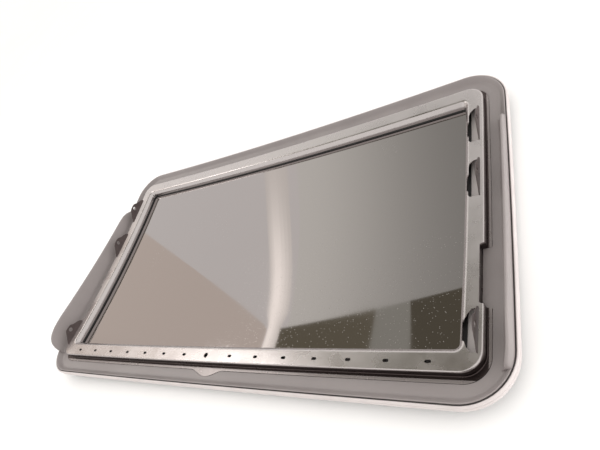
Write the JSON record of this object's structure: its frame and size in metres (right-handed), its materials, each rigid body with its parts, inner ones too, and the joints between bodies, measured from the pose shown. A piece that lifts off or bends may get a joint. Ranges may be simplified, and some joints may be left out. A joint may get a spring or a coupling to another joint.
{
  "type": "hatch lid",
  "caption": "Bonded glass hatch lid, inner side up: bowed tinted pane, pressed steel frame with fixing lugs, moulded rim with side walls, perimeter seal.",
  "frame": {"origin": "on the crown of the glass, its lowest point, at the middle of the plan", "axes": "+X along the long side, +Y from the front edge (the one with the row of slots) to the rear edge, +Z from the outer glass face to the inner side"},
  "size_m": [0.8812, 0.5104, 0.0634],
  "materials": {
    "tinted_glass": "polished, tinted",
    "frame_steel": "satin grey coated steel",
    "moulding": "fine moulded grain",
    "adhesive": "dull black",
    "carrier_rubber": "dull",
    "seal_rubber": "soft satin"
  },
  "bodies": {
    "root": {"glass_pane": "tinted_glass", "bond_spacers": "carrier_rubber", "adhesive_bead": "adhesive", "flange_bond": "adhesive", "inner_frame": "frame_steel", "rim_moulding": "moulding", "side_wall_right": "moulding", "side_wall_left": "moulding", "seal_carrier": "carrier_rubber", "seal_bulb": "seal_rubber"}
  },
  "joints": []
}
